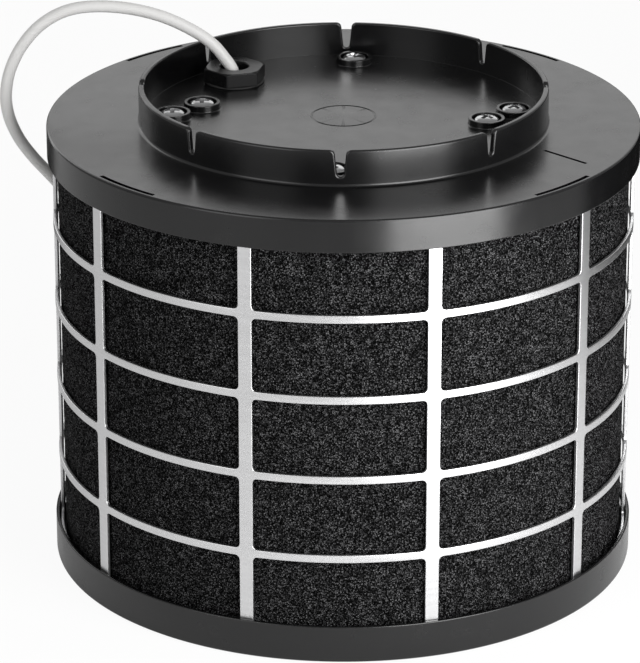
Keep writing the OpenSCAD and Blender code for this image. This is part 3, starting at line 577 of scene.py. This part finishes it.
# ---------------------------------------------------------------- cage and foam
def cage():
    """Sheet drum with rounded windows: each cell runs from its window's edge to its share of the bars."""
    half_cell = 180 / BARS
    half_window = half_cell - math.degrees(math.asin(BAR_W / 2 / CAGE_R))
    half_w = math.radians(half_window) * CAGE_R
    cell_w = math.radians(half_cell) * CAGE_R
    half_h = WINDOW_H / 2
    radius, edge_r = 2.0, 0.3
    across_steps, up_steps, arc_steps = 20, 6, 4

    def outline(grow):
        """Window's edge, counter-clockwise from the lower left, grown into the bars."""
        points = []
        for quarter, (sx, sz) in enumerate(((1, -1), (1, 1), (-1, 1), (-1, -1))):
            if quarter in (0, 2):
                for k in range(across_steps):
                    t = -1 + 2 * k / across_steps
                    points.append((sx * t * (half_w - radius), sz * (half_h + grow)))
            else:
                for k in range(up_steps):
                    t = -1 + 2 * k / up_steps
                    points.append((sx * (half_w + grow), sz * t * (half_h - radius)))
            r = radius + grow
            for k in range(arc_steps):
                a = math.radians(-90 + 90 * quarter + 90 * k / arc_steps)
                cx = (1 if quarter in (0, 1) else -1) * (half_w - radius)
                cz = (-1 if quarter in (0, 3) else 1) * (half_h - radius)
                points.append((cx + r * math.cos(a), cz + r * math.sin(a)))
        return points

    def border(low, high):
        """Cell's border, point for point opposite the outline."""
        points = []
        for x, z in outline(0):
            over_x, over_z = abs(x) - (half_w - radius), abs(z) - (half_h - radius)
            side = high if z > 0 else low
            if over_x <= 1e-6:
                points.append((x, side))
            elif over_z <= 1e-6:
                points.append((math.copysign(cell_w, x), z))
            else:
                a = math.degrees(math.atan2(over_z, over_x))
                if a >= 45:
                    t = (90 - a) / 45
                    points.append((math.copysign(half_w - radius + t * (cell_w - half_w + radius), x), side))
                else:
                    t = a / 45
                    reach = half_h - radius
                    points.append((math.copysign(cell_w, x), math.copysign(reach, z) * (1 - t) + side * t))
        return points

    step = WINDOW_H + RING_W
    points, faces = [], []
    for row in range(ROWS):
        middle = LOW_BAND + WINDOW_H / 2 + row * step
        low = 3 - middle if row == 0 else -step / 2
        high = PLATE_Z - middle if row == ROWS - 1 else step / 2
        outside = border(low, high)
        rolled = [(edge_r * (1 - math.cos(a)), outline(edge_r * (1 - math.sin(a))))
                  for a in (math.radians(30 * k) for k in range(4))]
        loops = [(CAGE_R, outside)] + [(CAGE_R - depth, loop) for depth, loop in rolled]
        loops += [(CAGE_IN_R + depth, loop) for depth, loop in reversed(rolled)] + [(CAGE_IN_R, outside)]
        n = len(outside)
        for k in range(BARS):
            middle_az = math.radians(360 / BARS * k - CAGE_TURN)
            start = len(points)
            for r, loop in loops:
                points += [polar_point(middle_az + x / CAGE_R, r, middle + z) for x, z in loop]
            for ring in range(len(loops) - 1):
                for i in range(n):
                    j = (i + 1) % n
                    a, b = start + ring * n, start + (ring + 1) * n
                    faces.append((a + i, a + j, b + j, b + i))
    mesh = build("grid_cage_sheet", points, faces, 2e-3)
    piece("grid_cage_sheet", mesh, "cage_steel", "grid_cage", sharp=40)


def foam():
    """Sleeve of open-cell foam: pores and grains in the surface itself, finest where it shows."""
    columns = 680
    out_rows, in_rows = ((166, 40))
    rows = out_rows + in_rows
    pore_size, pore_depth, lump_size, lump_depth = 2.1, 1.15, 1.3, 0.35
    points = []
    for j in range(columns):
        a = TAU * j / columns
        sa, ca = math.sin(a), -math.cos(a)
        for i in range(rows):
            outer = i < out_rows
            if outer:
                r, t = FOAM_R - 0.15, i / (out_rows - 1)
                z = FOAM_LOW + (FOAM_HIGH - FOAM_LOW) * t
            else:
                r, t = FOAM_IN_R + 0.2, (i - out_rows) / (in_rows - 1)
                z = FOAM_HIGH - (FOAM_HIGH - FOAM_LOW) * t
            p = Vector((r * sa, r * ca, z))
            if 0 < t < 1:
                near = noise.voronoi(p / pore_size)[0][0]
                pore = max(0.0, min(1.0, (0.42 - near) / 0.3))
                relief = pore_depth * pore * pore * (3 - 2 * pore)
                relief += lump_depth * abs(noise.noise(p / lump_size))
                r += -relief if outer else 0.7 * relief
            points.append((r * sa, r * ca, z))
    mesh = build("carbon_foam", points, grid_faces(columns, rows), 1e-6)
    piece("carbon_foam", mesh, "carbon_foam", "carbon_foam_sleeve", sharp=180)


# ---------------------------------------------------------------- screws and gland
def screw_mesh():
    """Pan head with a tapered cross recess, on its shank, head seated at height 0."""
    head_r, head_h = 5.8, 3.6
    profile = [(0, -16), (1.7, -16), (2.0, -15.6), (2.0, -0.02), (5.4, -0.02), (5.62, 0.05), (5.78, 0.25),
               (5.8, 0.9)]
    profile += [(head_r * math.cos(a) ** 0.72, 0.9 + (head_h - 0.9) * math.sin(a) ** 0.9)
                for a in (math.radians(6 * k) for k in range(1, 15))]
    profile.append((0, head_h))
    mesh = lathe("screw", profile, 72)
    for turn in (0, 90):
        c, s = math.cos(math.radians(turn)), math.sin(math.radians(turn))
        points = []
        for half_l, half_w, z in ((1.9, 0.6, head_h - 2.6), (2.9, 0.85, head_h - 1.0),
                                  (3.5, 1.0, head_h + 0.6)):
            for sx, sy in ((-1, -1), (1, -1), (1, 1), (-1, 1)):
                x, y = sx * half_l, sy * half_w
                points.append((c * x - s * y, s * x + c * y, z))
        faces = [(3, 2, 1, 0), (8, 9, 10, 11)]
        for level in (0, 4):
            faces += [(level + i, level + (i + 1) % 4, level + 4 + (i + 1) % 4, level + 4 + i)
                      for i in range(4)]
        mesh = cut_mesh("screw", mesh, points, faces)
    mesh.materials.append(MATERIALS["screw_chrome"])
    mesh.shade_smooth()
    mesh.set_sharp_from_angle(angle=math.radians(35))
    return mesh


def screws():
    """All the pan heads, each turned to an angle of its own."""
    mesh = screw_mesh()
    places = [("frame_screws", w, 20 + 35 * i) for i, w in enumerate(FRAME_WELLS)]
    places += [("supply_screws", w, 10 + 50 * i) for i, w in enumerate(SUPPLY_WELLS)]
    for i, (node, (r, az), turn) in enumerate(places):
        obj = bpy.data.objects.new(f"pan_screw_{i + 1}", mesh.copy())
        x, y = turned(az, r)
        spin = Matrix.Rotation(math.radians(az + turn), 4, "Z")
        obj.data.transform(Matrix.Translation(Vector((x, y, FLOOR_Z)) * MM) @ spin)
        bpy.context.collection.objects.link(obj)
        even = obj.modifiers.new("even_normals", "WEIGHTED_NORMAL")
        even.keep_sharp = True
        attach(obj, "root")
        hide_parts(node)


def hex_radius(a, flats):
    """Radius of a hexagon with rounded corners in direction a, with a corner at 0."""
    sector = a % (math.pi / 3) - math.pi / 6
    straight = flats / 2 / math.cos(sector)
    corner_d = (flats / 2 - HEX_CORNER) / math.cos(math.pi / 6)
    off = math.pi / 6 - abs(sector)
    aside = corner_d * math.sin(off)
    if aside >= HEX_CORNER:
        return straight
    return min(straight, corner_d * math.cos(off) + math.sqrt(HEX_CORNER ** 2 - aside ** 2))


def gland():
    """Hexagon with a cone-chamfered top and a mouth, on its thread, with washer, seal and nut."""
    corner_r = HEX_FLATS / 2 / math.cos(math.pi / 6)
    nut_flats = HEX_FLATS * math.cos(math.pi / 6)
    cone_low, cone_top, cone_r = HEX_TOP - 0.8, HEX_TOP, corner_r - 1.1
    turn = math.radians(16.7)
    thread = []
    for k in range(9):
        z = 187.4 + 1.5 * k
        thread += [(9.0, z), (9.0, z + 0.35), (8.45, z + 0.75), (8.45, z + 1.1)]
    columns = 180
    points = []
    for j in range(columns):
        a = TAU * j / columns
        reach = hex_radius(a, HEX_FLATS)
        clip = min(1.0, (corner_r - reach) / (corner_r - cone_r))
        z_cone = cone_low + clip * (cone_top - 0.3 - cone_low)
        profile = [(6.2, 187.0), (8.6, 187.0)] + thread + [(9.0, HEX_Z - 0.3), (9.0, HEX_Z)]
        profile += [(reach - 0.35, HEX_Z), (reach - 0.1, HEX_Z + 0.1), (reach, HEX_Z + 0.35)]
        profile += [(reach, z_cone - 0.25), (reach - 0.06, z_cone - 0.05), (reach - 0.22, z_cone + 0.1)]
        edge = min(reach, cone_r)
        profile += [(edge - 0.25, cone_top - 0.08), (edge - 0.45, cone_top), (7.1, cone_top),
                    (6.8, cone_top - 0.08), (6.5, cone_top - 0.35), (6.3, cone_top - 0.9),
                    (6.2, cone_top - 2.6)]
        d = a + turn
        points += [(GLAND[0] + r * math.cos(d), GLAND[1] + r * math.sin(d), z) for r, z in profile]
    mesh = build("gland_hexagon", points, grid_faces(columns, len(points) // columns))
    piece("gland_hexagon", mesh, "gland_black", "gland_body")
    washer = rounded([(9.2, FLOOR_Z, 0.2), (13.35, FLOOR_Z, 0.3), (13.35, HEX_Z, 0.35), (9.2, HEX_Z, 0.2)], 3)
    piece("gland_washer_ring", lathe("gland_washer_ring", washer, 96, GLAND), "seal_rubber", "gland_washer")
    seal = [(CORD_R + 0.02, 188), (6.18, 188), (6.18, 205.3), (5.9, 205.6), (4.6, 205.75), (3.5, 205.5),
            (CORD_R + 0.02, 204.9)]
    piece("gland_seal_ring", lathe("gland_seal_ring", seal, 72, GLAND), "seal_rubber", "gland_seal")
    nut = []
    for j in range(120):
        a = TAU * j / 120
        reach = hex_radius(a, nut_flats)
        sink = (reach - nut_flats / 2) * 0.5
        profile = [(9.05, 194), (reach - 0.4, 194), (reach, 194.3 + sink), (reach, 198.7 - sink),
                   (reach - 0.4, 199), (9.05, 199)]
        nut += [(GLAND[0] + r * math.cos(a), GLAND[1] + r * math.sin(a), z) for r, z in profile]
    piece("gland_nut", build("gland_nut", nut, grid_faces(120, 6)), "gland_black", "gland_locknut")


# ---------------------------------------------------------------- mains lead
def on_curve(a, b, c, d, s):
    """Point of the smooth curve between b and c, the same rule as in the CAD model."""
    return b + s * ((c - a) / 2 + s * ((2 * a - 5 * b + 4 * c - d) / 2 + s * (3 * b - a - 3 * c + d) / 2))


def smooth(points, steps):
    """Points of the smooth curve through others, with so many steps from one to the next."""
    p = [Vector(q) for q in points]
    last = len(p) - 1
    fine = [on_curve(p[max(i - 1, 0)], p[i], p[i + 1], p[min(i + 2, last)], k / steps)
            for i in range(last) for k in range(steps)]
    return fine + [p[last]]


def cord_path():
    """Centreline from the gland through the flat coil of two layers to the plug."""
    route = smooth(LEAD_ROUTE, 8)
    coil = []
    per_turn = 72
    for i in range(COIL_TURNS * per_turn + 1):
        t = i / per_turn
        s = min(max((t - COIL_TURNS / 2) * 2 + 0.5, 0), 1)
        r = COIL_MIN_R + TURN_PITCH * abs(t - COIL_TURNS / 2)
        a = math.radians(360 * t - 90)
        coil.append(Vector((COIL_C[0] + r * math.cos(a), COIL_C[1] + r * math.sin(a),
                            CORD_R + TURN_PITCH * s * s * (3 - 2 * s))))
    end = coil[-1]
    tail = smooth((end - Vector((4, 0, 0)), end, (COIL_C[0] + 8, PLUG_Y, 8.55),
                   (COIL_C[0] + 16, PLUG_Y, 8.05), (PLUG_X - 8.1, PLUG_Y, PLUG_Z),
                   (PLUG_X, PLUG_Y, PLUG_Z)), 6)[7:]
    path = route + coil + tail
    return [Vector((p.x, p.y, max(p.z, CORD_R))) for p in path]


def strap():
    """Hook-and-loop strap around all the turns, with its free end laid over."""
    y0, y1, z0, z1 = 197.7, 226.4, 0.05, 12.2
    outline = rounded([(y0, z0, 3.2), (y1, z0, 3.2), (y1, z1, 4.5), (y0, z1, 4.5)], 8)
    thick = 0.75
    x0, x1 = 6.4, 14.4
    n = len(outline)
    points = []
    for i, (y, z) in enumerate(outline):
        before, after = Vector(outline[i - 1]), Vector(outline[(i + 1) % n])
        along = (after - before).normalized()
        inward = Vector((-along.y, along.x))
        for x, d in ((x0 + 0.2, 0), (x1 - 0.2, 0), (x1, 0.2), (x1, thick - 0.2), (x1 - 0.2, thick),
                     (x0 + 0.2, thick), (x0, thick - 0.2), (x0, 0.2)):
            points.append((x, y + inward.x * d, z + inward.y * d))
    band = (points, grid_faces(n, 8))
    tab_corners = [(204, 12.15), (219, 12.15), (220.2, 12.4), (219.6, 12.85), (204.6, 12.85), (203.8, 12.5)]
    tab = [(x, y, z) for x in (x0 + 0.3, x1 - 0.3) for y, z in tab_corners]
    m = len(tab_corners)
    tab_faces = [tuple(range(m)), tuple(reversed(range(m, 2 * m)))]
    tab_faces += [(i, (i + 1) % m, m + (i + 1) % m, m + i) for i in range(m)]
    mesh = build("coil_strap", *together([band, (tab, tab_faces)]))
    return piece("coil_strap", mesh, "tie_black", "coil_tie")


def plug():
    """Flat two-pin plug: ribbed relief, swelling body with gripped sides, sleeved pins."""
    sections = []
    for k in range(49):
        x = 24.0 * k / 48
        rib = 0.55 if 0.12 < (x / 3.0) % 1.0 < 0.5 and x < 21 else 0.0
        r = 3.75 + 1.25 * x / 24 - rib
        sections.append((x, r, r, 2.0))
    for x, w, h, power in ((24.3, 5.6, 5.3, 2.0), (25.0, 7.0, 5.8, 2.2), (26.5, 9.4, 6.25, 2.4),
                           (29, 12.4, 6.5, 2.6), (32, 14.9, 6.7, 2.8), (36, 16.7, 6.78, 3.0)):
        sections.append((x, w, h, power))
    for k in range(33):
        x = 38 + 16.0 * k / 32
        dent = 0.45 * max(0.0, math.sin(math.pi * (x - 38) / 2.0)) if 38 <= x <= 52 else 0.0
        sections.append((x, 17.5 - dent, 6.8 - 0.35 * dent, 3.2))
    sections += [(57, 17.4, 6.78, 3.2), (58.6, 17.1, 6.6, 3.2), (59.6, 16.4, 6.1, 3.0), (60, 15.2, 5.2, 2.8)]
    around = 48
    points = []
    for x, w, h, power in sections:
        for j in range(around):
            a = TAU * j / around
            c, s = math.cos(a), math.sin(a)
            y = w * math.copysign(abs(c) ** (2 / power), c)
            z = h * math.copysign(abs(s) ** (2 / power), s)
            points.append((PLUG_X + x, PLUG_Y + y, PLUG_Z + z))
    n = len(sections)
    faces = [(i * around + j, i * around + (j + 1) % around, (i + 1) * around + (j + 1) % around,
              (i + 1) * around + j) for i in range(n - 1) for j in range(around)]
    faces += [tuple(range(around)), tuple((n - 1) * around + j for j in reversed(range(around)))]
    pieces = [piece("plug_shell", build("plug_shell", points, faces), "lead_white", "plug_body", sharp=60)]
    for i, side in enumerate((-1, 1)):
        for name, material, profile in (
                ("plug_pin", "pin_nickel", [(0, 59.9), (1.95, 59.9), (2.0, 60.0), (2.0, 77.2), (1.85, 78.1),
                                            (1.45, 78.75), (0.8, 79.0), (0, 79.0)]),
                ("plug_sleeve", "gland_black", [(1.9, 59.95), (2.12, 59.95), (2.12, 69.8), (2.0, 70.0),
                                                (1.9, 70.0)])):
            count = 32
            pts = []
            for j in range(count):
                a = TAU * j / count
                pts += [(PLUG_X + x, PLUG_Y + side * 9.3 + r * math.cos(a), PLUG_Z + r * math.sin(a))
                        for r, x in profile]
            mesh = build(name, pts, grid_faces(count, len(profile)))
            pieces.append(piece(f"{name}_{i + 1}", mesh, material, "plug_pins"))
    return pieces


def mains_lead():
    """The lead as a round curve, with its strap and plug."""
    path = cord_path()
    curve = bpy.data.curves.new("mains_lead", "CURVE")
    curve.dimensions = "3D"
    curve.bevel_depth = CORD_R * MM
    curve.bevel_resolution = 7
    curve.use_fill_caps = True
    curve.materials.append(MATERIALS["lead_white"])
    spline = curve.splines.new("POLY")
    spline.points.add(len(path) - 1)
    for point, p in zip(spline.points, path):
        point.co = (*(p * MM), 1)
    spline.use_smooth = True
    obj = bpy.data.objects.new("mains_lead", curve)
    bpy.context.collection.objects.link(obj)
    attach(obj, "root")
    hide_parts("power_cable", "cable_coil")
    strap()
    plug()


# ---------------------------------------------------------------- carried-over nodes
def paint_nodes():
    """Every node that stays gets the material of its slot in the record."""
    for row in frame["record"]["subparts"]:
        obj = frame["nodes"][row["node"]]
        material = MATERIALS[row["material_slot"]]
        if obj.material_slots:
            for material_slot in obj.material_slots:
                material_slot.material = material
        else:
            obj.data.materials.append(material)


# ---------------------------------------------------------------- stage, light and camera
def seen_directly(tree, straight, mirrored):
    """Share of a plain backdrop for rays from the camera and for mirrors and glass; 0 for lit surfaces."""
    path = tree.nodes.new("ShaderNodeLightPath")
    bounced = maths(tree, "MAXIMUM", path.outputs["Is Glossy Ray"], path.outputs["Is Transmission Ray"])
    return maths(tree, "MAXIMUM", maths(tree, "MULTIPLY", path.outputs["Is Camera Ray"], straight),
                 maths(tree, "MULTIPLY", bounced, mirrored))


def floor():
    """Pale floor, a little below the part so that the two share no plane."""
    mesh = bpy.data.meshes.new("studio_floor")
    half = 6.0
    corners = [(-half, -half, 0), (half, -half, 0), (half, half, 0), (-half, half, 0)]
    mesh.from_pydata(corners, [], [(0, 1, 2, 3)])
    obj = bpy.data.objects.new("studio_floor", mesh)
    obj.location.z = -0.2 * MM
    bpy.context.collection.objects.link(obj)
    material = bpy.data.materials.new("studio_floor")
    material.use_nodes = True
    tree = material.node_tree
    tree.nodes.clear()
    diffuse = tree.nodes.new("ShaderNodeBsdfDiffuse")
    diffuse.inputs["Color"].default_value = (0.86, 0.86, 0.86, 1)
    glow = tree.nodes.new("ShaderNodeEmission")
    glow.inputs["Strength"].default_value = 1.0
    mix = tree.nodes.new("ShaderNodeMixShader")
    output = tree.nodes.new("ShaderNodeOutputMaterial")
    tree.links.new(seen_directly(tree, 0.93, 0.2), mix.inputs["Fac"])
    tree.links.new(diffuse.outputs["BSDF"], mix.inputs[1])
    tree.links.new(glow.outputs["Emission"], mix.inputs[2])
    tree.links.new(mix.outputs["Shader"], output.inputs["Surface"])
    mesh.materials.append(material)


def world():
    """White where the camera looks past the part, dimmer as a light and in reflections."""
    backdrop = bpy.data.worlds.new("studio")
    bpy.context.scene.world = backdrop
    backdrop.use_nodes = True
    tree = backdrop.node_tree
    background = tree.nodes["Background"]
    background.inputs["Color"].default_value = (1, 1, 1, 1)
    strength = ranged(tree, seen_directly(tree, 1.0, 0.1), 0, 1, 0.35, 1.0)
    tree.links.new(strength, background.inputs["Strength"])


def panel(name, az, distance, height, width, tall, watts, target=(0, 0, 0.12)):
    """Softbox at an azimuth and height, turned to the target."""
    data = bpy.data.lights.new(name, "AREA")
    data.shape = "RECTANGLE"
    data.size, data.size_y = width, tall
    data.energy = watts
    obj = bpy.data.objects.new(name, data)
    x, y = turned(az, distance)
    obj.location = (x, y, height)
    obj.rotation_euler = (obj.location - Vector(target)).to_track_quat("Z", "Y").to_euler()
    obj.visible_camera = False
    bpy.context.collection.objects.link(obj)


def flag(name, az, distance, width, tall):
    """Dark studio card that only reflections see."""
    x, y = turned(az, distance)
    along = Vector(turned(az + 90, width / 2))
    mesh = bpy.data.meshes.new(name)
    mesh.from_pydata([(x - along.x, y - along.y, 0), (x + along.x, y + along.y, 0),
                      (x + along.x, y + along.y, tall), (x - along.x, y - along.y, tall)], [], [(0, 1, 2, 3)])
    material, _, principled = shader(name, (0.01, 0.01, 0.01), 1.0)
    principled.inputs["Specular IOR Level"].default_value = 0
    mesh.materials.append(material)
    obj = bpy.data.objects.new(name, mesh)
    bpy.context.collection.objects.link(obj)
    obj.visible_camera = obj.visible_diffuse = obj.visible_transmission = obj.visible_shadow = False


def lights():
    """Softboxes around the part and two dark cards behind it."""
    panel("softbox_right", 35, 0.5, 0.3, 0.36, 0.6, 5.2, (0, 0, 0.3))
    panel("softbox_left", -42, 1.3, 0.6, 0.7, 1.2, 5)
    panel("band_far_left", -140, 1.2, 0.5, 0.3, 1.1, 1.5)
    panel("panel_back", 180, 1.5, 0.85, 2.2, 0.9, 5.2)
    flag("flag_right", 125, 0.38, 0.5, 0.2)
    flag("flag_left", -152, 0.4, 0.3, 0.2)


def camera():
    """Long lens in front of the part, looking down on it."""
    data = bpy.data.cameras.new("camera")
    data.sensor_width = 36
    data.lens = 218.33
    obj = bpy.data.objects.new("camera", data)
    obj.location = (-0.0103, -1.66998, 0.76816)
    obj.rotation_euler = (math.radians(68.20), 0, 0)
    bpy.context.collection.objects.link(obj)
    bpy.context.scene.camera = obj


bpy.context.scene.view_settings.view_transform = "Standard"
camera()
world()
floor()
lights()
paint_nodes()
mains_lead()
top_cap()
well_rings()
bottom_cap()
cage()
foam()
screws()
gland()
